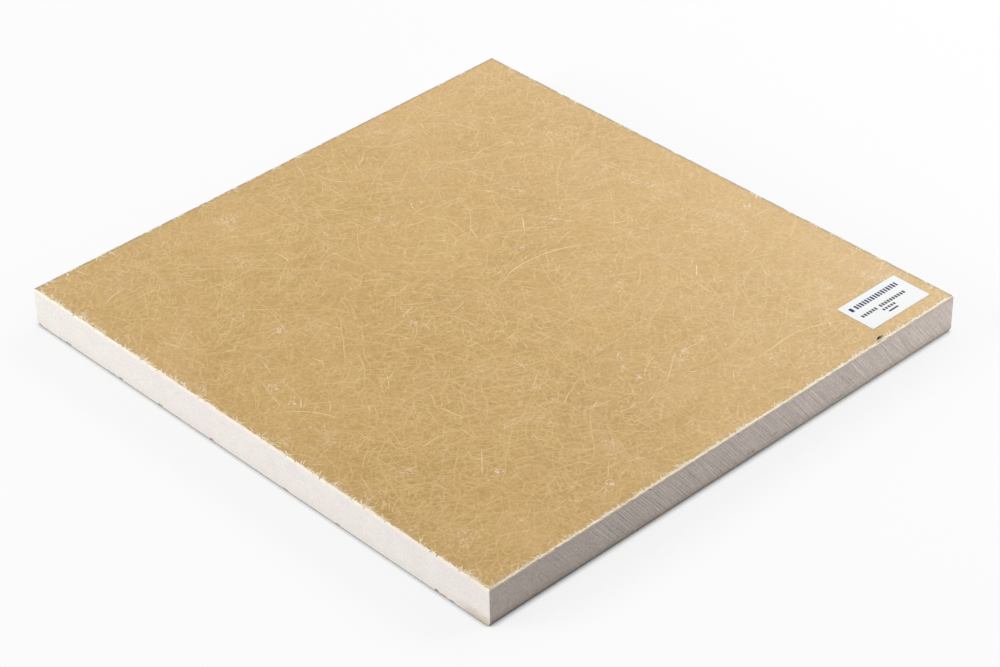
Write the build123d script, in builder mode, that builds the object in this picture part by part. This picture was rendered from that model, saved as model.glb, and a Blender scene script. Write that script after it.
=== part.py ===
from build123d import *
import os
from math import ceil, cos, radians, sin, tan
from random import Random

# A thick, nearly square sheet of glass-mat laminate, sawn on all four sides, lying flat.
# A small paper label is stuck on its upper face, near one corner.
# Millimetres. The origin is the centre of the lower face, +Z is up, +X runs along the front side.

# The sheet
sheet_x = 287.0
sheet_y = 298.0
sheet_z = 19.5
top_arris = 0.5
bottom_arris = 0.4
corner_arris = 0.3

# The marks that the saw's feed left on the front side: shallow leaning steps, no two alike,
# which fade out towards both ends of the side
saw_pitch = 1.5
saw_depth = 0.06
saw_shallowest = 0.012
saw_lean = 38.0
saw_rise_share = 0.3
saw_fade_left = 60.0
saw_fade_right = 60.0
saw_seed = 5

# The ragged breaks along the arrises: the inner line of each kind of break, from one end to the other,
# with X along the arris and Y falling from its innermost point towards the side
short_rag = [(-1.3, -1.2), (-0.6, -0.2), (0.2, 0), (0.9, -0.6), (1.2, -1.2)]
long_rag = [(-2.4, -1.2), (-2.0, -0.55), (-0.9, -0.4), (-0.1, 0), (1.0, -0.25), (1.5, -0.65), (2.3, -1.2)]
hooked_rag = [(-1.8, -1.2), (-1.6, -0.15), (-0.5, -0.4), (0.4, 0), (1.9, -1.2)]
rag_reach = (0.6, 1.05)
rag_wall = 0.15
rag_slope = 38.0
rag_turn = 8.0
upper_rag_spacing = 5.5
lower_rag_spacing = 22.0
corner_clear = 7.0

# The larger breaks along the upper arris: place, length and width.
# A place is measured along the side from its start, or from its end if negative.
left_breaks = [
    (72.3, 5.0, 1.1),
    (78.6, 3.5, 1.0),
    (90.4, 5.0, 1.2),
    (123.1, 5.5, 1.1),
    (-71.0, 8.0, 1.5),
    (-60.3, 4.0, 1.1),
    (-33.3, 3.5, 1.1),
    (-10.1, 5.0, 1.3),
]
front_breaks = [
    (36.3, 3.0, 1.1),
    (-108.0, 4.0, 1.1),
    (-28.0, 3.0, 1.0),
]
break_wall = 0.3
break_slope = 32.0

# The half-moon flake missing behind the front arris, beside the label
flake_from_end = 48.3
flake_length = 7.0
flake_width = 3.0
flake_wall = 1.1
flake_slope = -14.0
flake_turn = 14.0

# The lower corner knocked off where the left and back sides meet
knock_along_left = 5.5
knock_along_back = 2.5
knock_height = 1.8

# The front side's lower arris is worn back to a steep bevel, wider at the side's left end than at its right
wear_left = 1.45
wear_right = 1.05
wear_slope = 62.0

# The label
label_x = 38.1
label_y = 21.2
label_z = 0.1
label_from_right = 25.9
label_from_front = 19.0
label_turn = -0.5

# How far a cutting shape stands out past what it cuts
cut_clear = 3.0

side_starts = {"front": (-1, -1), "right": (1, -1), "back": (1, 1), "left": (-1, 1)}
side_directions = {"front": (1, 0), "right": (0, 1), "back": (-1, 0), "left": (0, -1)}


def side_length(side):
    return sheet_x if side in ("front", "back") else sheet_y


def arris_place(side, upper=True):
    """The start of a side's arris: X runs along it, Y points into the sheet and Z out of its broad face."""
    sign_x, sign_y = side_starts[side]
    along = Vector(*side_directions[side])
    start = Vector(sign_x * sheet_x / 2, sign_y * sheet_y / 2)
    if upper:
        return Plane(origin=start + Vector(0, 0, sheet_z), x_dir=along, z_dir=(0, 0, 1)).location
    return Plane(origin=start + along * side_length(side), x_dir=-along, z_dir=(0, 0, -1)).location


def rag_planes(draw):
    """Planes for one kind of break, on all but the worn arris. Each is a floor that slopes to the side."""
    planes = []
    arrises = [(side, upper) for side in side_starts for upper in (True, False) if upper or side != "front"]
    for side, upper in arrises:
        spacing = 3 * (upper_rag_spacing if upper else lower_rag_spacing)
        along = corner_clear + draw.uniform(0, spacing)
        while along < side_length(side) - corner_clear:
            tilt = Rot(draw.uniform(0.7, 1.3) * rag_slope, 0, draw.uniform(-rag_turn, rag_turn))
            innermost = Pos(along, draw.uniform(*rag_reach), -rag_wall)
            planes.append(Plane(arris_place(side, upper) * innermost * tilt))
            along += spacing * draw.uniform(0.4, 1.6)
    return planes


def shell_cutter(side, place, length, width, wall, slope, turn=0):
    """A coin-shaped cutter for a shell-shaped break: its rim makes the round wall, its face the floor."""
    radius = (length**2 / 4 + width**2) / (2 * width)
    inner_end = arris_place(side) * Pos(place % side_length(side), width, -wall)
    floor = inner_end * Rot(0, 0, turn) * Rot(slope, 0, 0) * Pos(0, -radius, 0)
    coin = Cylinder(radius, cut_clear, align=(Align.CENTER, Align.CENTER, Align.MIN), mode=Mode.PRIVATE)
    return floor * coin


def saw_step_depth(along, draw):
    """How deep the saw's mark is at a distance along the front side, which is 0 at its left end."""
    fade = min(along / saw_fade_left, (sheet_x - along) / saw_fade_right, 1)
    return max(saw_depth * fade * draw.uniform(0.4, 1), saw_shallowest)


def saw_step_line(start, end):
    """The stepped line of the saw's marks, seen from above, between two places on X."""
    draw = Random(saw_seed)
    crest = -sheet_y / 2
    line = [(start, crest)]
    while line[-1][0] < end:
        left = line[-1][0]
        pitch = saw_pitch * draw.uniform(0.7, 1.4)
        depth = saw_step_depth(left + sheet_x / 2, draw)
        line += [(left + saw_rise_share * pitch, crest + depth), (left + pitch, crest)]
    return line


with BuildPart() as sheet:
    # The blank is one saw_depth too wide in front, and the saw's marks take that off.
    with BuildSketch():
        with Locations((0, -saw_depth / 2)):
            Rectangle(sheet_x, sheet_y + saw_depth)
    extrude(amount=sheet_z)
    chamfer(sheet.edges().filter_by(Axis.Z), length=corner_arris)
    chamfer(sheet.faces().sort_by(Axis.Z)[-1].edges(), length=top_arris)
    chamfer(sheet.faces().sort_by(Axis.Z)[0].edges(), length=bottom_arris)

    corner = Vector(-sheet_x / 2, sheet_y / 2)
    outward = Vector(-1 / knock_along_back, 1 / knock_along_left, -1 / knock_height)
    split(bisect_by=Plane(origin=corner + Vector(0, 0, knock_height), z_dir=outward), keep=Keep.BOTTOM)

    for seed, outline in enumerate((short_rag, long_rag, hooked_rag)):
        with BuildSketch(*rag_planes(Random(seed))):
            with BuildLine():
                Polyline(*outline, (outline[-1][0], -cut_clear), (outline[0][0], -cut_clear), close=True)
            make_face()
        extrude(amount=cut_clear, mode=Mode.SUBTRACT)

    shells = [shell_cutter("left", *sizes, break_wall, break_slope) for sizes in left_breaks]
    shells += [shell_cutter("front", *sizes, break_wall, break_slope) for sizes in front_breaks]
    flake = (-flake_from_end, flake_length, flake_width, flake_wall, flake_slope, flake_turn)
    shells.append(shell_cutter("front", *flake))
    add(shells, mode=Mode.SUBTRACT)

    drift = (sheet_z + 2 * cut_clear) * tan(radians(saw_lean))
    with BuildSketch(Plane.XY.offset(sheet_z + cut_clear)):
        with BuildLine():
            line = saw_step_line(-sheet_x / 2 - drift - saw_pitch, sheet_x / 2 + saw_pitch)
            outer = -sheet_y / 2 - cut_clear
            Polyline(*line, (line[-1][0], outer), (line[0][0], outer), close=True)
        make_face()
    lean = Vector(sin(radians(saw_lean)), 0, -cos(radians(saw_lean)))
    extrude(amount=(sheet_z + 2 * cut_clear) / cos(radians(saw_lean)), dir=lean, mode=Mode.SUBTRACT)

    wear_line = Vector(sheet_x, wear_right - wear_left)
    uphill = Vector(0, -cos(radians(wear_slope)), sin(radians(wear_slope)))
    wear_start = Vector(-sheet_x / 2, wear_left - sheet_y / 2)
    split(bisect_by=Plane(origin=wear_start, z_dir=wear_line.cross(uphill)), keep=Keep.BOTTOM)
sheet.part.label = "sheet"

with BuildPart() as label:
    with BuildSketch(Plane.XY.offset(sheet_z)):
        with Locations((sheet_x / 2 - label_from_right, label_from_front - sheet_y / 2)):
            Rectangle(label_x, label_y, rotation=label_turn)
    extrude(amount=label_z)
label.part.label = "label"

os.makedirs("parts", exist_ok=True)
export_step(sheet.part, "parts/sheet.step")
export_step(label.part, "parts/label.step")
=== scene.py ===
import math
import random

import bpy
from mathutils import Matrix, Vector

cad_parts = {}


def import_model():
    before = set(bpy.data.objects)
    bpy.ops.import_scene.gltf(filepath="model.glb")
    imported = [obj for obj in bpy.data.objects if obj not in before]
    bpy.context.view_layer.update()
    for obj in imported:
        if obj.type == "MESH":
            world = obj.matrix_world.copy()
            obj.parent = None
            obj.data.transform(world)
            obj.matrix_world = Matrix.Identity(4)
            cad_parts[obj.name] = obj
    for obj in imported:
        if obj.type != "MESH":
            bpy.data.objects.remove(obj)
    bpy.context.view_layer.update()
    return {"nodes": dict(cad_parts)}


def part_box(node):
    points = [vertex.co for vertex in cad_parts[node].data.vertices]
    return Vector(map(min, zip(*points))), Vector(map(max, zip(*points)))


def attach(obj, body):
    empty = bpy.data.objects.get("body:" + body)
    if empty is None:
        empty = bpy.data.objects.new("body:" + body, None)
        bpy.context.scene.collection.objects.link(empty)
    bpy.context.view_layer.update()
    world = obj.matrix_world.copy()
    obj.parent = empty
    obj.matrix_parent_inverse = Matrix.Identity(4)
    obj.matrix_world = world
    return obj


# A thick sheet of glass-mat laminate on a pale floor. Objects are in metres, as the frame is. The materials
# and the fibres are worked out in millimetres, because fibres, breaks and saw marks are of that size.
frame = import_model()

MM = 0.001

# The sheet and its label, from the frame
_, sheet_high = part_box("sheet")
half_x = sheet_high.x / MM
half_y = sheet_high.y / MM
top_z = sheet_high.z / MM
label_low, label_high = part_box("label")
label_centre = (label_low + label_high) / 2 / MM
label_width = 38.1
label_height = 21.2
label_turn = -0.5

# The camera's direction, its distance, and how far the sheet's origin lies off the view's middle
view_azimuth = -43.2327
view_elevation = 35.5343
view_roll = -1.1862
view_distance = 1.410203
view_shift_right = 0.003756
view_shift_up = -0.002819
lens = 112.17
sensor_width = 36.0

# Colours, linear: first the skin's, with the painted sheen that colours it from the middle to the corners,
# and the painted shadow round the label
skin_light = (0.645, 0.405, 0.138)
skin_dark = (0.475, 0.285, 0.078)
skin_pink = (0.62, 0.39, 0.175)
skin_worn = (0.56, 0.39, 0.20)
middle_sheen = (0.99, 0.968, 0.91)
corner_sheen = (1.15, 1.25, 1.72)
label_shadow_dark = (0.30, 0.24, 0.14)
rim_grey = (0.36, 0.31, 0.21)

# The fibres
straw = (0.74, 0.515, 0.22)
pale_straw = (0.775, 0.575, 0.27)
bright_straw = (0.95, 0.86, 0.62)
torn_dull = (0.82, 0.69, 0.46)
torn_bright = (0.98, 0.92, 0.77)
crumb_dull = (0.97, 0.84, 0.62)
crumb_bright = (1.0, 0.95, 0.82)

# The sawn sides with the front one's painted warm light, their breaks, and their dirt and painted shade
core_cream = (0.775, 0.735, 0.695)
core_pink = (0.76, 0.70, 0.68)
core_brown = (0.62, 0.50, 0.38)
front_painted_warmth = (1.06, 0.99, 0.94)
no_tint = (1.0, 1.0, 1.0)
break_cream = (0.96, 0.85, 0.67)
break_dirt_and_shade = (0.045, 0.03, 0.012)
foot_dirt_and_shade = (0.38, 0.32, 0.26)
foot_dust = (0.52, 0.44, 0.29)
stain_brown = (0.32, 0.23, 0.15)

# The label and the floor
paper_white = (0.92, 0.925, 0.93)
paper_grey = (0.6, 0.6, 0.62)
ink_blue = (0.01, 0.03, 0.10)
ink_grey = (0.05, 0.05, 0.06)
floor_grey = (0.5, 0.5, 0.5)
floor_seen = (0.1, 0.1, 0.1)

# The range that a pattern of noise seldom leaves
noise_range = (0.3, 0.7)

# The patterns of noise: how many repeats to the millimetre, how many finer levels, how strong those are, and
# how far the pattern is moved along X and Y, so that it doesn't run with another
patterns = {
    "cloud": (0.022, 3.0, 0.5, 0, 0),
    "mottle": (0.35, 3.0, 0.6, 0, 0),
    "grain": (2.2, 1.0, 0.5, 0, 0),
    "pink": (0.04, 2.0, 0.5, 300, 0),
    "crinkle": (0.55, 2.0, 0.5, 0, 300),
    "dry": (0.05, 2.0, 0.5, 0, 500),
    "chalk": (0.075, 2.0, 0.5, 0, 700),
    "specks": (1.1, 2.0, 0.7, 0, 0),
    "ragged": (1.2, 2.0, 0.5, 0, 0),
    "beads": (0.9, 2.0, 0.7, 0, 0),
    "blotch": (0.09, 3.0, 0.6, 0, 0),
    "sawn_grain": (1.6, 3.0, 0.7, 0, 0),
    "foot_ragged": (0.5, 3.0, 0.5, 0, 0),
    "stain": (0.8, 2.0, 0.5, 0, 0),
    "flecks": (1.3, 2.0, 0.7, 0, 0),
    "fibre_patches": (0.5, 2.0, 0.5, 0, 0),
    "paper": (1.5, 3.0, 0.5, 0, 0),
}

# The patterns that are drawn out along the sides: how many repeats to the millimetre along the side and up
# it, how many finer levels and how strong those are
drawn_patterns = {
    "layers": (0.16, 1.6, 3.0, 0.6),
    "saw_marks": (1.5, 0.05, 3.0, 0.6),
    "saw_patches": (0.05, 0.08, 2.0, 0.5),
}

# Where some patterns start to show and where they show in full, by the value of their noise
showing = {
    "pink": (0.5, 0.75),
    "dry": (0.58, 0.72),
    "chalk": (0.6, 0.72),
    "specks": (0.5, 0.62),
    "blotch": (0.4, 0.65),
    "stain": (0.35, 0.6),
    "flecks": (0.35, 0.55),
    "saw_patches": (0.35, 0.65),
}

# How far a pattern shapes the surface, in millimetres
relief = {
    "mottle": 0.03,
    "grain": 0.006,
    "saw_marks": 0.05,
    "sawn_grain": 0.03,
    "layers": 0.015,
    "fibre_patches": 0.01,
    "paper": 0.008,
}

# Roughness: a range where a pattern spreads it, and how much the fibres add to the skin's
skin_rough = (0.5, 0.62)
fibres_rough = 0.05
core_rough = 0.75
fibre_rough = (0.3, 0.5)
paper_rough = (0.6, 0.7)
floor_rough = 0.9


class Nodes:
    """Builds a node tree. Each call takes numbers, vectors or other nodes' outputs, and returns an output."""

    def __init__(self, tree):
        self.tree = tree

    def feed(self, socket, value):
        if isinstance(value, bpy.types.NodeSocket):
            self.tree.links.new(value, socket)
        else:
            socket.default_value = value

    def add(self, kind, inputs, output=0, **settings):
        node = self.tree.nodes.new(kind)
        for name, value in settings.items():
            setattr(node, name, value)
        for key, value in inputs.items():
            self.feed(node.inputs[key], value)
        return node.outputs[output]

    def math(self, operation, first, second=0.0):
        return self.add("ShaderNodeMath", {0: first, 1: second}, operation=operation)

    def plus(self, first, *others):
        for other in others:
            first = self.math("ADD", first, other)
        return first

    def times(self, first, *others):
        for other in others:
            first = self.math("MULTIPLY", first, other)
        return first

    def largest(self, first, *others):
        for other in others:
            first = self.math("MAXIMUM", first, other)
        return first

    def minus(self, first, second):
        return self.math("SUBTRACT", first, second)

    def size(self, value):
        return self.math("ABSOLUTE", value)

    def step(self, value, start, end, first=0.0, last=1.0):
        """first where value is at start and last where it is at end, smooth between. Start may be above."""
        inputs = {"Value": value, "From Min": start, "From Max": end, "To Min": first, "To Max": last}
        return self.add("ShaderNodeMapRange", inputs, interpolation_type="SMOOTHSTEP")

    def span(self, value, start, end, first, last):
        """first where value is at start and last where it is at end, in a straight line between."""
        inputs = {"Value": value, "From Min": start, "From Max": end, "To Min": first, "To Max": last}
        return self.add("ShaderNodeMapRange", inputs)

    def spread(self, noise, first, last):
        """Spreads the usual range of a noise from first to last."""
        return self.span(noise, *noise_range, first, last)

    def split(self, vector):
        node = self.tree.nodes.new("ShaderNodeSeparateXYZ")
        self.feed(node.inputs[0], vector)
        return tuple(node.outputs)

    def join(self, x, y, z=0.0):
        return self.add("ShaderNodeCombineXYZ", {0: x, 1: y, 2: z})

    def vector(self, operation, first, second):
        return self.add("ShaderNodeVectorMath", {0: first, 1: second}, operation=operation)

    def noise(self, vector, scale, detail, roughness):
        inputs = {"Vector": vector, "Scale": scale, "Detail": detail, "Roughness": roughness}
        return self.add("ShaderNodeTexNoise", inputs)

    def pattern(self, place, name):
        """One of the patterns of noise, at a place in millimetres."""
        scale, detail, roughness, moved_x, moved_y = patterns[name]
        if moved_x or moved_y:
            place = self.vector("ADD", place, (moved_x, moved_y, 0))
        return self.noise(place, scale, detail, roughness)

    def drawn_pattern(self, along, up, name):
        """One of the patterns that are drawn out along the sides."""
        scale_along, scale_up, detail, roughness = drawn_patterns[name]
        place = self.join(self.times(along, scale_along), self.times(up, scale_up))
        return self.noise(place, 1.0, detail, roughness)

    def mix(self, share, first, second):
        """A colour between first, where share is 0, and second, where it is 1."""
        node = self.tree.nodes.new("ShaderNodeMix")
        node.data_type = "RGBA"
        for number, value in ((0, share), (6, first), (7, second)):
            self.feed(node.inputs[number], (*value, 1.0) if isinstance(value, tuple) else value)
        return node.outputs[2]

    def millimetres(self):
        """The place on the object at rest, in millimetres."""
        place = self.add("ShaderNodeTexCoord", {}, 3)
        return self.vector("MULTIPLY", place, (1 / MM, 1 / MM, 1 / MM))

    def turned(self, vector, angle):
        inputs = {"Vector": vector, "Angle": angle}
        return self.add("ShaderNodeVectorRotate", inputs, rotation_type="Z_AXIS")


def new_material(name):
    material = bpy.data.materials.new(name)
    material.use_nodes = True
    return material, Nodes(material.node_tree), material.node_tree.nodes["Principled BSDF"]


def finish(nodes, shader, colour, roughness, height):
    """Gives a shader its colour and roughness, and shapes the surface by a height in millimetres."""
    nodes.feed(shader.inputs["Base Color"], colour)
    nodes.feed(shader.inputs["Roughness"], roughness)
    inputs = {"Height": nodes.times(height, MM), "Distance": 1.0, "Strength": 1.0}
    nodes.feed(shader.inputs["Normal"], nodes.add("ShaderNodeBump", inputs))


# The mat of fibres in the skin: its layers, the length and the spacing of the cells that its fibres lie in,
# a fibre's half width and how much of that is full, and how far and how finely the fibres sway
mat_layers = 7
mat_length = 14.0
mat_spacing = 2.3
mat_width = 0.56
mat_full = 0.3
mat_sway = 2.5
mat_sway_scale = 0.06

# What a layer's seed is multiplied by for its place in the cells, how much farther apart the layers lie in
# the noise that sways them, and how unevenly they are turned
seed_along = 17.3
seed_across = 9.1
seed_apart = 9
turn_change = 0.37
turn_pace = 5.1

# A fibre in its cell: how far it leans and bows, the shortest and the longest reach from its middle as a
# share of the cell, the share of its reach where it starts to fade, how faint and how strong it is, and the
# shift in place that chains one layer to the next
mat_lean = 1.6
mat_bow = 1.8
mat_reach = (0.18, 0.5)
mat_fade = 0.75
mat_strength = (0.25, 1.0)
mat_hair = 1e-6


def fibre_layer_group():
    """One layer of fibres in the mat. Each long cell holds one fibre, and noise bends them all.
    A layer adds its fibres to those before it, and shifts its place by a hair for each: so the layers are
    worked out one after another, and a renderer that holds few values at once has room for them all."""
    group = bpy.data.node_groups.new("fibre_layer", "ShaderNodeTree")
    socket = group.interface.new_socket
    socket("Place", in_out="INPUT", socket_type="NodeSocketVector")
    for name in ("Fibres", "Turn", "Seed"):
        socket(name, in_out="INPUT", socket_type="NodeSocketFloat")
    socket("Place", in_out="OUTPUT", socket_type="NodeSocketVector")
    socket("Fibres", in_out="OUTPUT", socket_type="NodeSocketFloat")
    given = group.nodes.new("NodeGroupInput").outputs
    made = group.nodes.new("NodeGroupOutput").inputs
    nodes = Nodes(group)

    seed = given["Seed"]
    seed = nodes.join(nodes.times(seed, seed_along), nodes.times(seed, seed_across), seed)
    elsewhere = nodes.vector("ADD", given["Place"], nodes.vector("MULTIPLY", seed, (seed_apart,) * 3))
    wander = nodes.add("ShaderNodeTexNoise", {"Vector": elsewhere, "Scale": mat_sway_scale, "Detail": 0.0}, 1,
                       noise_dimensions="2D")
    centred = nodes.vector("SUBTRACT", wander, (0.5, 0.5, 0.5))
    sway = nodes.vector("MULTIPLY", centred, (mat_sway, mat_sway, 0))
    turned = nodes.turned(nodes.vector("ADD", given["Place"], sway), given["Turn"])
    along, across, _ = nodes.split(turned)
    cell = nodes.join(nodes.math("DIVIDE", along, mat_length), nodes.math("DIVIDE", across, mat_spacing))
    cell = nodes.vector("ADD", cell, seed)
    voronoi = nodes.add("ShaderNodeTexVoronoi", {"Vector": cell, "Scale": 1.0, "Randomness": 1.0},
                        voronoi_dimensions="2D").node
    off_along, off_across, _ = nodes.split(nodes.vector("SUBTRACT", cell, voronoi.outputs["Position"]))
    along = nodes.times(off_along, mat_length)
    across = nodes.times(off_across, mat_spacing)
    lean, bow, reach = nodes.split(voronoi.outputs["Color"])
    strength = nodes.add("ShaderNodeTexWhiteNoise", {"Vector": voronoi.outputs["Position"]})

    slope = mat_spacing / mat_length
    line = nodes.times(nodes.span(lean, 0, 1, -mat_lean, mat_lean), slope, along)
    bow = nodes.times(nodes.span(bow, 0, 1, -mat_bow, mat_bow), slope, off_along, along)
    distance = nodes.size(nodes.minus(across, nodes.plus(line, bow)))
    fibre = nodes.step(distance, mat_width, mat_full * mat_width)
    reach = nodes.span(reach, 0, 1, *mat_reach)
    ends = nodes.step(nodes.size(off_along), reach, nodes.times(reach, mat_fade))
    strength = nodes.span(nodes.times(strength, strength), 0, 1, *mat_strength)
    fibres = nodes.plus(given["Fibres"], nodes.times(fibre, ends, strength))
    shift = nodes.times(fibres, mat_hair)
    group.links.new(fibres, made["Fibres"])
    group.links.new(nodes.vector("ADD", given["Place"], nodes.join(shift, shift, shift)), made["Place"])
    return group


def mat_fibres(nodes, place):
    """How much fibre the mat shows at a place: layers of fibres, each turned its own way."""
    group = fibre_layer_group()
    fibres = 0.0
    for number in range(mat_layers):
        turn = math.pi * (number + turn_change * math.sin(turn_pace * number)) / mat_layers
        node = nodes.tree.nodes.new("ShaderNodeGroup")
        node.node_tree = group
        for name, value in {"Place": place, "Fibres": fibres, "Turn": turn, "Seed": 1.0 + number}.items():
            nodes.feed(node.inputs[name], value)
        place, fibres = node.outputs
    return fibres


# How the skin's tone changes with each pattern, and the painted light that makes it darker at the near corner
# and lighter at the far one
cloud_tones = (-0.2, 0.2)
mottle_tones = (0.26, 0.74)
grain_tones = (-0.06, 0.06)
corner_painted_light = (-0.16, 0.14)

# How much of the skin takes a second colour: at most in its pinkish places, in its crinkles, in the mat's
# fibres where the resin is rich and where it is dry, and in its chalky specks. And how far from the middle
# value of its noise a crinkle reaches.
pink_most = 0.45
crinkle_share = 0.25
crinkle_width = 0.035
fibre_shares = (0.38, 0.54)
chalk_share = 0.4


def mat_colour(nodes, place, fibres, mottle, grain):
    """The resin's tans, with the fibres, with pinkish, dry and chalky places, and with painted light from the
    near corner to the far one.
    """
    x, y, _ = nodes.split(place)
    # The last part of the tone is painted light: darker at the near corner, lighter at the far one.
    tone = nodes.plus(nodes.spread(nodes.pattern(place, "cloud"), *cloud_tones),
                      nodes.spread(mottle, *mottle_tones), nodes.spread(grain, *grain_tones),
                      nodes.span(nodes.plus(x, y), -half_x - half_y, half_x + half_y, *corner_painted_light))
    colour = nodes.mix(tone, skin_dark, skin_light)
    pink = nodes.span(nodes.pattern(place, "pink"), *showing["pink"], 0.0, pink_most)
    colour = nodes.mix(pink, colour, skin_pink)
    crinkle = nodes.step(nodes.size(nodes.minus(nodes.pattern(place, "crinkle"), 0.5)), crinkle_width, 0.0)
    colour = nodes.mix(nodes.times(crinkle, crinkle_share), colour, straw)
    dry = nodes.step(nodes.pattern(place, "dry"), *showing["dry"])
    colour = nodes.mix(nodes.times(fibres, nodes.span(dry, 0, 1, *fibre_shares)), colour, straw)
    chalky = nodes.step(nodes.pattern(place, "chalk"), *showing["chalk"])
    specks = nodes.step(nodes.pattern(place, "specks"), *showing["specks"])
    return nodes.mix(nodes.times(chalky, specks, chalk_share), colour, bright_straw)


# How the painted sheen grows outward: how much more of it the right half has, and where it starts and is full
sheen_right = 0.7
sheen_range = (-0.7, 3.7)


def painted_sheen(nodes, place):
    """Painted sheen: the slow change of colour, paler and lighter, from the sheet's middle to its right and
    left corners.
    """
    x, y, _ = nodes.split(place)
    share_x = nodes.math("DIVIDE", x, half_x)
    share_y = nodes.math("DIVIDE", y, half_y)
    outward = nodes.plus(nodes.times(share_x, share_x), nodes.times(share_y, share_y),
                         nodes.times(share_x, share_y, -1.0), nodes.times(share_x, sheen_right))
    return nodes.mix(nodes.span(outward, *sheen_range, 0.0, 1.0), middle_sheen, corner_sheen)


# How the skin wears along its arrises, in millimetres: how far in the wear reaches and how ragged its line
# is, the same for the bruises, how far the beads of noise move these near the front side, at what distances
# from it that starts and is full, and the same for the bruises' end and the grey along the far sides
wear_reach = 1.2
wear_ragged = 3.0
bruise_reach = (0.25, 0.05)
bruise_ragged = 0.6
bead_moves = (0.1, -0.45)
near_front_side = (6, 3)
bruise_end = (-1.5, -2.0)
far_rim_reach = (-1.3, -0.5)

# The values of the beads' noise that spread the bruises and the far sides' grey
bruise_beads = (0.4, 0.6)
far_rim_beads = (0.35, 0.55)

# How much of the skin the wear, the bruises and the grey cover, and the painted shadow beside the label with
# its reach
wear_share = 0.6
bruise_share = 0.9
far_rim_shares = (0.25, 0.75)
label_shadow_share = 0.3
label_shadow_reach = (0.8, 0.3)


def worn_edges(nodes, place, colour, to_side):
    """The skin along its arrises: worn all round, bruised pale at the near ones and grey at the far ones."""
    x, y, _ = nodes.split(place)
    ragged = nodes.pattern(place, "ragged")
    beads = nodes.pattern(place, "beads")
    near_front = nodes.step(nodes.plus(y, half_y), *near_front_side)
    past_far_side = nodes.largest(nodes.plus(x, -half_x), nodes.plus(y, -half_y))
    worn = nodes.step(nodes.minus(to_side, nodes.times(ragged, wear_ragged)), wear_reach, 0.0)
    colour = nodes.mix(nodes.times(worn, wear_share), colour, skin_worn)
    bruise = nodes.plus(to_side, nodes.times(ragged, -bruise_ragged),
                        nodes.times(near_front, nodes.span(beads, *bruise_beads, *bead_moves)))
    bruise = nodes.times(nodes.step(bruise, *bruise_reach), nodes.step(past_far_side, *bruise_end))
    colour = nodes.mix(nodes.times(bruise, bruise_share), colour, break_cream)
    far_rim = nodes.step(nodes.plus(past_far_side, ragged), *far_rim_reach)
    far_rim = nodes.times(far_rim, nodes.step(beads, *far_rim_beads, *far_rim_shares))
    return nodes.mix(far_rim, colour, rim_grey)


def label_edge_shadow(nodes, place):
    """A thin dark line of painted shadow on the upper face, right round the label."""
    x, y, z = nodes.split(place)
    past_label = nodes.largest(nodes.minus(nodes.size(nodes.minus(x, label_centre.x)), label_width / 2),
                               nodes.minus(nodes.size(nodes.minus(y, label_centre.y)), label_height / 2))
    return nodes.times(nodes.step(past_label, *label_shadow_reach), nodes.span(z, 0, top_z, 0, 1), label_shadow_share)


def skin_finish(nodes, place, to_side):
    """The broad faces: a tan resin skin over a tangle of fibres. Returns colour, roughness and height."""
    fibres = mat_fibres(nodes, place)
    mottle = nodes.pattern(place, "mottle")
    grain = nodes.pattern(place, "grain")
    colour = mat_colour(nodes, place, fibres, mottle, grain)
    # Painted sheen: the skin paler and lighter towards its right and left corners.
    colour = nodes.vector("MULTIPLY", colour, painted_sheen(nodes, place))
    colour = worn_edges(nodes, place, colour, to_side)
    # A painted shadow right round the label.
    colour = nodes.mix(label_edge_shadow(nodes, place), colour, label_shadow_dark)
    roughness = nodes.plus(nodes.spread(mottle, *skin_rough), nodes.times(fibres, fibres_rough))
    height = nodes.plus(nodes.times(mottle, relief["mottle"]), nodes.times(grain, relief["grain"]))
    return colour, roughness, height


# How far the saw's marks lean along a side for each millimetre that they rise
saw_lean = 0.78

# How much the core's layers and grain change its shade, how much the saw's marks do where they are faint and
# where they are strong, how much of that is left on the other sides and at the front side's left end, between
# the places given, and how much more contrast the front side has
layer_shades = (-0.02, 0.02)
grain_shades = (-0.07, 0.07)
mark_shades = (0.03, 0.1)
marks_elsewhere = 0.15
marks_at_left = 0.3
marks_fade = (-125, -60)
core_contrast = 1.4
front_contrast = 1.6

# The painted light along the front side, darker at its left end and lighter to the right, the shade along the
# other sides from front to back, and how much lighter the others are just under their upper arris
front_painted_light = (0.88, 1.09)
other_shades = (1.03, 0.94)
arris_shade = 0.05


def core_shade(nodes, place, front, under_arris, grain, layers, marks):
    """How light the core is along its sides, with painted light along the front side, and faint layers, grain
    and saw marks.
    """
    x, y, z = nodes.split(place)
    leaning = nodes.plus(nodes.plus(x, y), nodes.times(z, saw_lean))
    patches = nodes.drawn_pattern(leaning, z, "saw_patches")
    marked = nodes.times(nodes.spread(marks, -1.0, 1.0),
                         nodes.span(patches, *showing["saw_patches"], *mark_shades),
                         nodes.span(front, 0, 1, marks_elsewhere, 1.0),
                         nodes.step(x, *marks_fade, marks_at_left, 1.0))
    uneven = nodes.plus(nodes.spread(layers, *layer_shades), nodes.spread(grain, *grain_shades), marked)
    contrast = nodes.plus(nodes.times(front, front_contrast), core_contrast)
    along = nodes.plus(nodes.times(front, nodes.span(x, -half_x, half_x, *front_painted_light)),
                       nodes.times(nodes.minus(1.0, front), nodes.span(y, -half_y, half_y, *other_shades)),
                       nodes.times(under_arris, arris_shade))
    return nodes.times(along, nodes.plus(nodes.times(uneven, contrast), 1.0))


# The dark foot of the sides, partly dirt and partly painted shade where they meet the floor: the heights
# where it starts and is full, how ragged they are, how much of it the front side has from left to right, how
# much all sides have, how much there can be, and how far from the front side the dusty ends of the others
# start and are full
foot_dark_heights = (4.5, -2.0)
foot_dark_ragged = 4.0
front_foot_dark = (0.8, 0.35)
least_foot_dark = 0.15
most_foot_dark = 0.85
dirty_corner = (24, 8)


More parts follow.
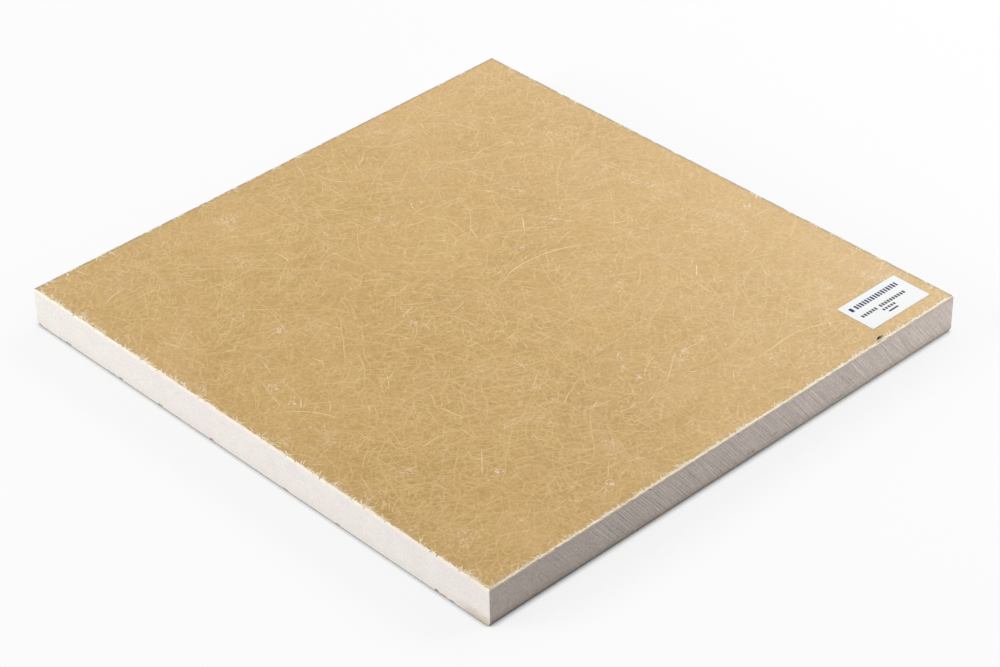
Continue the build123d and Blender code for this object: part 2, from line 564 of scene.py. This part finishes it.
def dirty_shaded_foot(nodes, place, colour, front):
    """Dirt and painted shade low on the sides, most of it on the front one, and dust at the front ends of the
    others.
    """
    x, y, z = nodes.split(place)
    up = nodes.plus(z, nodes.times(nodes.pattern(place, "foot_ragged"), -foot_dark_ragged))
    on_front = nodes.plus(nodes.times(front, nodes.span(x, -half_x, half_x, *front_foot_dark)), least_foot_dark)
    corner = nodes.times(nodes.minus(1.0, front), nodes.step(nodes.plus(y, half_y), *dirty_corner))
    share = nodes.times(nodes.largest(on_front, corner), nodes.step(up, *foot_dark_heights, 0.0, most_foot_dark))
    return nodes.mix(share, colour, nodes.mix(corner, foot_dirt_and_shade, foot_dust))


# The brown stains low on the front side: their place along X, height, half length and half height
front_stains = [
    (10.4, 4.5, 3.6, 1.1),
    (25.0, 6.0, 3.6, 0.9),
    (67.0, 3.6, 4.6, 0.9),
]
stain_strength = 0.5


def stain_share(nodes, place):
    """How much of a place the stains cover."""
    x, y, z = nodes.split(place)
    share = 0.0
    for stain_x, stain_z, half_length, half_height in front_stains:
        away_x = nodes.math("DIVIDE", nodes.minus(x, stain_x), half_length)
        away_z = nodes.math("DIVIDE", nodes.minus(z, stain_z), half_height)
        away = nodes.plus(nodes.times(away_x, away_x), nodes.times(away_z, away_z))
        share = nodes.largest(share, nodes.step(away, 1.0, 0.0))
    ragged = nodes.step(nodes.pattern(place, "stain"), *showing["stain"])
    return nodes.times(share, ragged, nodes.step(y, 0.5 - half_y, -half_y), stain_strength)


# The core under its upper arris: how far below the top the front side turns brown and how much, and how far
# below it and how much the other sides turn pale. And how pinkish the core's blotches are.
brown_reach = 3
brown_most = 0.35
pale_reach = (2.5, 0.3)
pale_share = 0.25
blotch_most = 0.8


def core_finish(nodes, place, front):
    """The sawn sides: a pale chalky core, browner under the front arris. Returns colour and height."""
    x, y, z = nodes.split(place)
    flow = nodes.plus(x, y)
    layers = nodes.drawn_pattern(flow, z, "layers")
    marks = nodes.drawn_pattern(nodes.plus(flow, nodes.times(z, saw_lean)), z, "saw_marks")
    grain = nodes.pattern(place, "sawn_grain")
    below_top = nodes.minus(top_z, z)
    under_arris = nodes.times(nodes.minus(1.0, front), nodes.step(below_top, *pale_reach))

    blotch = nodes.span(nodes.pattern(place, "blotch"), *showing["blotch"], 0.0, blotch_most)
    colour = nodes.mix(blotch, core_cream, core_pink)
    shade = core_shade(nodes, place, front, under_arris, grain, layers, marks)
    colour = nodes.add("ShaderNodeVectorMath", {0: colour, "Scale": shade}, operation="SCALE")
    # Painted light: the front side is tinted warmer, for the warm light in its shade.
    colour = nodes.vector("MULTIPLY", colour, nodes.mix(front, no_tint, front_painted_warmth))
    browned = nodes.times(front, nodes.step(below_top, brown_reach, 0, 0.0, brown_most))
    colour = nodes.mix(browned, colour, core_brown)
    colour = nodes.mix(nodes.times(under_arris, pale_share), colour, break_cream)
    # Dirt and painted shade low on the sides, where they meet the floor.
    colour = dirty_shaded_foot(nodes, place, colour, front)
    colour = nodes.mix(stain_share(nodes, place), colour, stain_brown)
    height = nodes.plus(nodes.times(marks, relief["saw_marks"]), nodes.times(grain, relief["sawn_grain"]),
                        nodes.times(layers, relief["layers"]))
    return colour, height


# The darkest end of the half-moon flake, how far its clean floor and its dark wall, dirt with painted shade,
# reach from there, and how dark the other breaks' walls are
flake_place = (93.6, -146.8, 19.0)
flake_floor_reach = (9.0, 8.0)
flake_wall_dark_reach = (5.5, 2.0)
plain_wall_dark = 0.15

# How upright a surface's normal is where a break's floor, its wall and the flake's floor start and are full,
# how far in from the side a wall is, how far below the top a break turns shallow, how pale the deep ones are,
# and how pale the flecks leave them
floor_upright = (0.15, 0.45)
wall_upright = (0.5, 0.3)
flake_upright = (0.6, 0.8)
wall_inset = (0.2, 0.45)
break_depths = (0.7, 0.35)
deep_paleness = 0.4
fleck_paleness = 0.65


def broken_core(nodes, place, colour, upright, to_side):
    """The upper breaks: paler core on their floors, and dirt with painted shade on their steep walls, mostly
    in the flake.
    """
    z = nodes.split(place)[2]
    upper = nodes.step(z, top_z / 2, top_z / 2 + 1)
    flecks = nodes.span(nodes.pattern(place, "flecks"), *showing["flecks"], fleck_paleness, 1.0)
    paleness = nodes.times(nodes.step(nodes.minus(top_z, z), *break_depths, deep_paleness, 1.0), flecks)
    floors = nodes.times(nodes.step(upright, *floor_upright), upper, paleness)
    walls = nodes.times(nodes.step(to_side, *wall_inset), nodes.step(upright, *wall_upright), upper)
    to_flake = nodes.add("ShaderNodeVectorMath", {0: place, 1: flake_place}, 1, operation="DISTANCE")
    flake_floor = nodes.times(nodes.step(upright, *flake_upright), nodes.step(to_flake, *flake_floor_reach))
    colour = nodes.mix(nodes.largest(floors, flake_floor), colour, break_cream)
    # The steep walls: dirt and painted shade, darkest in the flake.
    wall_dark = nodes.step(to_flake, *flake_wall_dark_reach, plain_wall_dark, 1.0)
    return nodes.mix(nodes.times(walls, wall_dark), colour, break_dirt_and_shade)


# The part of a normal along X or Y from which a surface starts to count as a side, and counts in full
side_facing = (-0.4, -0.6)

# How far from the broad faces the skin's colour ends and the core's is full, and how much deeper the skin's
# reaches on the left side
skin_depth = (0.01, 0.04)
left_skin = 0.2


def laminate_material():
    """The whole sheet: skin on the broad faces, core on the sides, and paler core in the upper breaks."""
    material, nodes, shader = new_material("laminate_finish")
    place = nodes.millimetres()
    x, y, z = nodes.split(place)
    to_side = nodes.math("MINIMUM", nodes.minus(half_x, nodes.size(x)), nodes.minus(half_y, nodes.size(y)))
    to_broad = nodes.math("MINIMUM", nodes.minus(top_z, z), z)
    facing_x, facing_y, facing_z = nodes.split(nodes.add("ShaderNodeNewGeometry", {}, 3))
    left = nodes.step(facing_x, *side_facing)
    front = nodes.step(facing_y, *side_facing)

    skin_colour, skin_roughness, skin_height = skin_finish(nodes, place, to_side)
    core_colour, core_height = core_finish(nodes, place, front)
    core_colour = broken_core(nodes, place, core_colour, nodes.size(facing_z), to_side)

    core = nodes.step(nodes.minus(to_broad, nodes.times(left, left_skin)), *skin_depth)
    skin = nodes.minus(1.0, core)
    colour = nodes.mix(core, skin_colour, core_colour)
    roughness = nodes.plus(nodes.times(core, core_rough), nodes.times(skin, skin_roughness))
    height = nodes.plus(nodes.times(core, core_height), nodes.times(skin, skin_height))
    finish(nodes, shader, colour, roughness, height)
    return material


# How bright the loose fibres are from patch to patch, and how bright they are left at the front corner
patch_brightness = (0.42, 1.1)
front_brightness = 0.4


def fibre_material(name, dull, bright):
    """Loose glass fibres, each with its own tone, and duller towards the front corner."""
    material, nodes, shader = new_material(name)
    tone = nodes.add("ShaderNodeNewGeometry", {}, 8)
    place = nodes.millimetres()
    x, y, _ = nodes.split(place)
    patches = nodes.pattern(place, "fibre_patches")
    share = nodes.times(tone, nodes.spread(patches, *patch_brightness),
                        nodes.span(nodes.plus(x, y), -half_x - half_y, 0, front_brightness, 1.0))
    finish(nodes, shader, nodes.mix(share, dull, bright), nodes.spread(patches, *fibre_rough),
           nodes.times(patches, relief["fibre_patches"]))
    return material


# The rows of bars on the label: where the first bar starts, the pitch and a bar's length as shares of the
# label's longer side, how many bars, and the row's middle and thickness as shares of its shorter side
label_rows = [
    (0.08, 0.0, 0.045, 1, 0.24, 0.14, ink_blue),
    (0.17, 0.092, 0.03, 8, 0.24, 0.14, ink_blue),
    (0.219, 0.092, 0.025, 8, 0.24, 0.14, ink_blue),
    (0.09, 0.045, 0.03, 6, 0.55, 0.09, ink_grey),
    (0.40, 0.045, 0.03, 10, 0.55, 0.09, ink_grey),
    (0.37, 0.045, 0.03, 5, 0.69, 0.07, ink_grey),
    (0.40, 0.0, 0.16, 1, 0.81, 0.045, ink_grey),
]

# How soft the ends and the long edges of a bar are, as shares of the label's sides, how uneven the paper's
# tone is, and its shine
end_blur = 0.002
edge_blur = 0.004
paper_change = 0.06
paper_shine = 0.2


def label_material():
    """White paper with rows of plain blue and grey bars."""
    material, nodes, shader = new_material("label_finish")
    place = nodes.millimetres()
    centred = nodes.vector("SUBTRACT", place, tuple(label_centre))
    x, y, _ = nodes.split(nodes.turned(centred, -math.radians(label_turn)))
    fraction_x = nodes.plus(nodes.math("DIVIDE", x, label_width), 0.5)
    fraction_y = nodes.minus(0.5, nodes.math("DIVIDE", y, label_height))
    grain = nodes.pattern(place, "paper")
    colour = nodes.mix(nodes.spread(grain, 0.0, paper_change), paper_white, paper_grey)
    for start, pitch, length, count, middle, thickness, ink in label_rows:
        from_middle = nodes.size(nodes.minus(fraction_y, middle))
        inside_y = nodes.step(from_middle, thickness / 2 + edge_blur, thickness / 2 - edge_blur)
        for number in range(count):
            from_middle = nodes.size(nodes.minus(fraction_x, start + pitch * number + length / 2))
            inside_x = nodes.step(from_middle, length / 2 + end_blur, length / 2 - end_blur)
            colour = nodes.mix(nodes.times(inside_x, inside_y), colour, ink)
    shader.inputs["Specular IOR Level"].default_value = paper_shine
    finish(nodes, shader, colour, nodes.spread(grain, *paper_rough), nodes.times(grain, relief["paper"]))
    return material


# A fibre's ends: how wide they are as a share of its width, and how fast it widens from there to its middle
fibre_tip = 0.35
fibre_swell = 2.6


def fibre_mesh(name, fibres, material):
    """Closed, tapered fibres of three-sided section. A fibre is its points, its width and its height."""
    vertices = []
    faces = []
    for points, width, height in fibres:
        first = len(vertices)
        last = len(points) - 1
        for number, point in enumerate(points):
            ahead = points[min(number + 1, last)] - points[max(number - 1, 0)]
            aside = Vector((-ahead.y, ahead.x, 0)).normalized()
            taper = min(1.0, fibre_tip + fibre_swell * min(number, last - number) / last)
            half = aside * width * taper / 2
            vertices += [point - half, point + half, point + Vector((0, 0, height * taper))]
        for number in range(last):
            ring = first + 3 * number
            for side in range(3):
                other = (side + 1) % 3
                faces.append((ring + side, ring + other, ring + 3 + other, ring + 3 + side))
        faces.append((first + 2, first + 1, first))
        faces.append((first + 3 * last, first + 3 * last + 1, first + 3 * last + 2))
    mesh = bpy.data.meshes.new(name)
    mesh.from_pydata([vertex * MM for vertex in vertices], [], faces)
    mesh.materials.append(material)
    mesh.update()
    piece = bpy.data.objects.new(name, mesh)
    bpy.context.scene.collection.objects.link(piece)
    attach(piece, "root")


# How deep a fibre is sunk in the skin, how clear it stays of the sides and the label, how much of its drift
# it keeps from one point to the next, and how much that changes
fibre_sunk = 0.006
fibre_clear = 1.2
drift_kept = 0.8
drift_change = 0.05


# How far apart the points of a fibre are, and those of a short one
usual_pace = 2.2
short_pace = 1.0


def curved_line(start, heading, length, bend, draw, pace=usual_pace):
    """Points along a line on the top face that starts at a heading in degrees and bends as it goes."""
    count = max(3, round(length / pace))
    points = []
    place = Vector((*start, top_z - fibre_sunk))
    turn = math.radians(bend) / count
    angle = math.radians(heading)
    drift = 0.0
    for _ in range(count + 1):
        points.append(place.copy())
        place += Vector((math.cos(angle), math.sin(angle), 0)) * length / count
        drift = drift_kept * drift + draw.uniform(-drift_change, drift_change)
        angle += turn + drift
    return points


def on_bare_top(points):
    """Whether a line stays on the top face, clear of its sides and of the label."""
    clear_x = label_width / 2 + fibre_clear
    clear_y = label_height / 2 + fibre_clear
    for point in points:
        off_label = point - label_centre
        if abs(point.x) > half_x - fibre_clear or abs(point.y) > half_y - fibre_clear:
            return False
        if abs(off_label.x) < clear_x and abs(off_label.y) < clear_y:
            return False
    return True


# The fibres scattered over the top face: their seed, how many there are, the shortest and the longest, and
# the narrowest and the widest. Their heights lie between the two below.
scattered_sets = {
    "short_fibres": (11, 2800, 3, 20, 0.42, 0.66),
    "long_fibres": (15, 1100, 12, 44, 0.4, 0.6),
    "bright_fibres": (16, 380, 2, 12, 0.26, 0.42),
}
scattered_heights = (0.03, 0.045)

# The heading across the sheet's front corner, in degrees, with its spread, and the spread of a fibre's bend
corner_heading = (-45, 22)
scattered_bend = 26


def scattered_fibres(seed, count, shortest, longest, narrowest, widest):
    """Fibres all over the top face. More of them lie across the sheet's front corner than along it."""
    draw = random.Random(seed)
    fibres = []
    while len(fibres) < count:
        start = (draw.uniform(-half_x, half_x), draw.uniform(-half_y, half_y))
        length = shortest + (longest - shortest) * draw.random() ** 2
        heading = draw.choice((draw.uniform(0, 360), draw.uniform(0, 360), draw.gauss(*corner_heading)))
        points = curved_line(start, heading, length, draw.gauss(0, scattered_bend), draw)
        if on_bare_top(points):
            fibres.append((points, draw.uniform(narrowest, widest), draw.uniform(*scattered_heights)))
    return fibres


# The notable fibres and scratches: where each starts, its heading, length and bend in degrees, and its width
notable_fibres = [
    (8, 1.5, 22, 56, -42, 0.45),
    (47, -118.6, 3, 51, -2, 0.6),
    (25, -90, 215, 22, 8, 0.4),
    (25, -90, -26, 18, 38, 0.4),
    (-130, 115.5, 22, 16, 0, 0.5),
    (37, 58.5, -34, 7, -100, 0.55),
    (30, 46, -114, 11.5, 0, 0.4),
    (52, 33, -130, 11, -8, 0.5),
    (-75, -47, -80, 13.5, 18, 0.4),
    (-127.5, 0, -26, 30, -52, 0.35),
    (10, 129, -92, 22, 60, 0.35),
    (36, 141, -58, 42, 8, 0.3),
    (33, -117, -136, 9, 0, 0.45),
    (-89, 70, -45, 16, 0, 0.38),
    (-82, -80, -134, 19, 4, 0.35),
    (92, -23, -43, 28, 0, 0.3),
    (97, -63, -17, 22, -6, 0.3),
    (-109, -131.5, -30, 3.8, 0, 0.7),
    (-34, -92, -14, 14, 0, 0.4),
    (-125, 97, -58, 15, 44, 0.35),
    (-25, -102, -36, 12, 64, 0.4),
    (63, 58, -55, 13, 0, 0.35),
    (127, -42, -6, 13, 0, 0.4),
    (133, -31.5, -123, 5, 0, 0.45),
    (136, -33, -143, 6, 0, 0.45),
    (83.5, -12, -42, 5, 0, 0.5),
    (-113, 0, -128, 6.5, 0, 0.6),
    (17, -85.5, -160, 17, 14, 0.35),
    (-59.5, -87, -116, 10, 64, 0.35),
    (-99, -62, 6, 11, 0, 0.4),
    (-42, 14, 15, 11, 0, 0.38),
    (-124, 60, -21, 6, 0, 0.45),
]
notable_height = 0.06
notable_seed = 12


def notable():
    """The notable fibres and scratches, each where it was seen."""
    draw = random.Random(notable_seed)
    fibres = []
    for x, y, heading, length, bend, width in notable_fibres:
        fibres.append((curved_line((x, y), heading, length, bend, draw), width, notable_height))
    return fibres


# The dry patches: middle, radius and number of short fibres. Then those fibres' seed, their lengths, the
# spread of their bend in degrees, their widths and their height.
dry_patches = [
    (-86, 45, 3, 20),
    (-116, 15, 2.4, 20),
    (-117, 0, 2, 14),
    (0, -93, 2.5, 20),
    (-88, -97, 2.5, 18),
    (28, -93, 2.5, 18),
    (-61, -135, 3, 26),
    (-79, -133, 1.6, 10),
    (112, 79, 4, 22),
    (61, 22, 4, 22),
    (-41, 7, 2, 12),
    (114, 11, 3.5, 16),
]
dry_seed = 13
dry_lengths = (0.6, 2.2)
dry_bend = 20
dry_widths = (0.2, 0.36)
torn_height = 0.05


def patch_fibres():
    """Short fibres that lie bare in the dry patches."""
    draw = random.Random(dry_seed)
    fibres = []
    for x, y, radius, count in dry_patches:
        for _ in range(count):
            start = (x + draw.gauss(0, radius / 2), y + draw.gauss(0, radius / 2))
            heading = draw.uniform(0, 360)
            length = draw.uniform(*dry_lengths)
            points = curved_line(start, heading, length, draw.gauss(0, dry_bend), draw, short_pace)
            if on_bare_top(points):
                fibres.append((points, draw.uniform(*dry_widths), torn_height))
    return fibres


# The loose fibres along each upper arris: how many tufts, how widely they turn away from the side in degrees,
# how many clumps of crumbs lie along the break, and how wide the widest of them is
arris_fibres = {
    "left": (150, 50.0, 10, 0.4),
    "front": (200, 38.0, 340, 0.75),
    "right": (40, 40.0, 22, 0.6),
    "back": (40, 40.0, 22, 0.6),
}
sides = {"left": (-1, 0), "front": (0, -1), "right": (1, 0), "back": (0, 1)}

# How wide the arris's bevel is, how far the loose fibres stay from a side's ends and from the flake's darkest
# end, and how far those of a tuft or clump lie from its middle
arris_width = 0.5
end_clear = 4
flake_clear = 4.3
clump_scatter = 0.9

# The steps of a torn fibre, and how high it ends above the skin
torn_steps = 4
torn_lift = 0.03

# The tufts: their seed and sizes, how many fibres they have, how far in from the side those start, the least
# that they turn in degrees and the most that chance adds, their lengths, how deep in the break they start,
# and their widths
tuft_seed = 14
tuft_sizes = (0.5, 1.0)
tuft_fibres = (2, 6)
tuft_starts = (0.3, 0.7)
tuft_turn = 4
tuft_most_turn = 120
tuft_lengths = (1.5, 5.0)
tuft_rises = (0.02, 0.12)
tuft_widths = (0.26, 0.46)

# The crumbs: their seed, how many make a clump, how near the side they lie, the narrowest clump, how far they
# turn, how gently they follow the bevel, and their sizes as above
crumb_seed = 17
clump_crumbs = 6
crumb_inset = 0.21
clump_narrowest = 0.2
crumb_turn = 10
crumb_fall = 8
crumb_lengths = (0.6, 2.2)
crumb_rises = (0.0, 0.04)
crumb_widths = (0.26, 0.38)
crumb_height = 0.03


def arris_line(side):
    """The way out of a side, the way along it, how far out its arris lies and half of the length in use."""
    out = Vector((*sides[side], 0))
    along = Vector((-out.y, out.x, 0))
    if out.x:
        return out, along, half_x, half_y - end_clear
    return out, along, half_y, half_x - end_clear


def torn_fibre(start, ahead, length, rise):
    """A short fibre that rises from a broken arris and lies over the skin."""
    points = []
    for step in range(torn_steps + 1):
        share = step / torn_steps
        lift = top_z - rise + (rise + torn_lift) * math.sin(share * math.pi / 2)
        points.append(start + ahead * length * share + Vector((0, 0, lift)))
    return points


def over_flake(place):
    """Whether a place on an arris is where the half-moon flake is missing."""
    return (place.xy - Vector(flake_place).xy).length < flake_clear


def edge_tufts():
    """Tufts of fibres torn up by the saw along the upper arrises."""
    draw = random.Random(tuft_seed)
    fibres = []
    for side, (tufts, spread, _, _) in arris_fibres.items():
        out, along, to_side, reach = arris_line(side)
        for _ in range(tufts):
            middle = draw.uniform(-reach, reach)
            size = draw.uniform(*tuft_sizes) ** 2
            for _ in range(draw.randint(*tuft_fibres)):
                inward = draw.uniform(*tuft_starts)
                start = out * (to_side - inward) + along * (middle + draw.gauss(0, clump_scatter))
                turn = math.radians(min(abs(draw.gauss(0, spread)), tuft_most_turn) + tuft_turn)
                ahead = along * math.cos(turn) * draw.choice((-1, 1)) - out * math.sin(turn)
                length = draw.uniform(*tuft_lengths) * size
                points = torn_fibre(start, ahead, length, draw.uniform(*tuft_rises))
                if not over_flake(start):
                    fibres.append((points, draw.uniform(*tuft_widths), torn_height))
    return fibres


def edge_crumbs():
    """Clumps of pale crumbs of fibre that lie along the breaks of the upper arrises."""
    draw = random.Random(crumb_seed)
    fibres = []
    for side, (_, _, clumps, widest) in arris_fibres.items():
        out, along, to_side, reach = arris_line(side)
        for _ in range(clumps):
            middle = draw.uniform(-reach, reach)
            width = draw.uniform(clump_narrowest, widest)
            for _ in range(clump_crumbs):
                inward = crumb_inset + width * draw.random()
                start = out * (to_side - inward) + along * (middle + draw.gauss(0, clump_scatter))
                start.z = -max(0.0, arris_width - inward) / crumb_fall
                turn = math.radians(abs(draw.gauss(0, crumb_turn)))
                ahead = along * math.cos(turn) * draw.choice((-1, 1)) - out * math.sin(turn)
                length = draw.uniform(*crumb_lengths)
                points = torn_fibre(start, ahead, length, draw.uniform(*crumb_rises))
                if not over_flake(start):
                    fibres.append((points, draw.uniform(*crumb_widths), crumb_height))
    return fibres


def camera():
    """A camera that sees the sheet as it was photographed."""
    azimuth = math.radians(view_azimuth)
    elevation = math.radians(view_elevation)
    back = Vector((math.sin(azimuth) * math.cos(elevation), -math.cos(azimuth) * math.cos(elevation),
                   math.sin(elevation)))
    level_right = (-back).cross(Vector((0, 0, 1))).normalized()
    level_up = level_right.cross(-back)
    roll = math.radians(view_roll)
    right = level_right * math.cos(roll) + level_up * math.sin(roll)
    up = level_up * math.cos(roll) - level_right * math.sin(roll)
    place = back * view_distance + right * view_shift_right + up * view_shift_up
    data = bpy.data.cameras.new("camera")
    data.lens = lens
    data.sensor_width = sensor_width
    item = bpy.data.objects.new("camera", data)
    item.matrix_world = Matrix.Translation(place) @ Matrix((right, up, back)).transposed().to_4x4()
    bpy.context.scene.collection.objects.link(item)
    bpy.context.scene.camera = item


# The lamps: where each is, its width and height, and its power. All are aimed at one place.
lamps = {
    "key": ((-1.60, 0.90, 0.75), 1.2, 0.9, 41.8),
    "right": ((0.85, -0.60, 0.50), 0.6, 0.6, 7.5),
    "right_back": ((1.30, 0.20, 0.90), 0.8, 0.8, 8.0),
    "back": ((0.90, 0.75, 0.60), 0.7, 0.6, 3.05),
}
aim = Vector((0, 0, 0.01))


def light():
    """The lamps, aimed at the sheet."""
    for name, (place, width, height, power) in lamps.items():
        data = bpy.data.lights.new(name, "AREA")
        data.shape = "RECTANGLE"
        data.size = width
        data.size_y = height
        data.energy = power
        lamp = bpy.data.objects.new(name, data)
        toward = (aim - Vector(place)).to_track_quat("-Z", "Y")
        lamp.matrix_world = Matrix.Translation(Vector(place)) @ toward.to_matrix().to_4x4()
        bpy.context.scene.collection.objects.link(lamp)


# The world's strength: what it lights the sheet with, and what the camera sees of it
world_strength = 0.12
world_seen = 0.97


def world():
    """A white surrounding, brighter to the camera than on the sheet."""
    made = bpy.data.worlds.new("world")
    made.use_nodes = True
    nodes = Nodes(made.node_tree)
    seen = nodes.add("ShaderNodeLightPath", {}, 0)
    background = made.node_tree.nodes["Background"]
    nodes.feed(background.inputs["Strength"], nodes.span(seen, 0, 1, world_strength, world_seen))
    background.inputs["Color"].default_value = (1, 1, 1, 1)
    bpy.context.scene.world = made


# The floor: half its width and its height in metres, and how far it reaches in under the sheet in millimetres
floor_half = 6.0
floor_z = -0.00002
floor_under = 3.0

# How bright and how shiny the floor is
floor_glow = 0.87
floor_shine = 0.1

# The floor's shade beside the sheet: how far it looks for the sheet, in metres, near and far, how open the
# floor is where each shade is darkest and where it ends, how bright the far one leaves it, and how exactly
# both are worked out
near_shade = 0.004
far_shade = 0.03
near_open = (0.25, 0.9)
far_open = (0.4, 1.0)
far_glow = (0.95, 1.0)
shade_samples = 4

# How much of the near shade is lifted before the front and left sides, and how many millimetres in from such
# a side that starts and is full
front_lift = 0.19
left_lift = 0.1
lift_line = (2, 1)


def floor_material():
    """Pale: what the camera sees of the floor is lifted to near white, except close beside the sheet."""
    material, nodes, shader = new_material("floor")
    seen = nodes.add("ShaderNodeLightPath", {}, 0)
    nodes.feed(shader.inputs["Base Color"], nodes.mix(seen, floor_grey, floor_seen))
    shader.inputs["Roughness"].default_value = floor_rough
    shader.inputs["Specular IOR Level"].default_value = floor_shine
    shader.inputs["Emission Color"].default_value = (1, 1, 1, 1)
    near = nodes.add("ShaderNodeAmbientOcclusion", {"Distance": near_shade}, 1, samples=shade_samples)
    far = nodes.add("ShaderNodeAmbientOcclusion", {"Distance": far_shade}, 1, samples=shade_samples)
    x, y, _ = nodes.split(nodes.millimetres())
    front = nodes.times(nodes.step(nodes.plus(y, half_y), *lift_line), front_lift)
    left = nodes.times(nodes.step(nodes.plus(x, half_x), *lift_line), left_lift)
    near = nodes.step(nodes.plus(near, nodes.largest(front, left)), *near_open)
    glow = nodes.times(seen, near, nodes.span(far, *far_open, *far_glow), floor_glow)
    nodes.feed(shader.inputs["Emission Strength"], glow)
    return material


def floor():
    """A wide floor a hair below the sheet. It is open under the sheet, to show the lower face from below."""
    corners = [(-1, -1), (1, -1), (1, 1), (-1, 1)]
    inner_x = (half_x - floor_under) * MM
    inner_y = (half_y - floor_under) * MM
    outer = [(x * floor_half, y * floor_half, floor_z) for x, y in corners]
    inner = [(x * inner_x, y * inner_y, floor_z) for x, y in corners]
    faces = [(number, (number + 1) % 4, 4 + (number + 1) % 4, 4 + number) for number in range(4)]
    mesh = bpy.data.meshes.new("floor")
    mesh.from_pydata(outer + inner, [], faces)
    mesh.materials.append(floor_material())
    item = bpy.data.objects.new("floor", mesh)
    bpy.context.scene.collection.objects.link(item)


def dress(node, material):
    """Gives a piece of the frame its material."""
    piece = frame["nodes"][node]
    piece.data.materials.clear()
    piece.data.materials.append(material)


dress("sheet", laminate_material())
dress("label", label_material())
surface = fibre_material("surface_fibre", skin_light, pale_straw)
bright = fibre_material("bright_fibre", pale_straw, bright_straw)
torn = fibre_material("torn_fibre", torn_dull, torn_bright)
crumb = fibre_material("crumb", crumb_dull, crumb_bright)
for name, material in (("short_fibres", surface), ("long_fibres", surface), ("bright_fibres", bright)):
    fibre_mesh(name, scattered_fibres(*scattered_sets[name]), material)
fibre_mesh("notable_fibres", notable(), bright)
fibre_mesh("dry_fibres", patch_fibres(), torn)
fibre_mesh("arris_tufts", edge_tufts(), torn)
fibre_mesh("arris_crumbs", edge_crumbs(), crumb)
camera()
light()
world()
floor()

bpy.context.scene.view_settings.view_transform = "Standard"
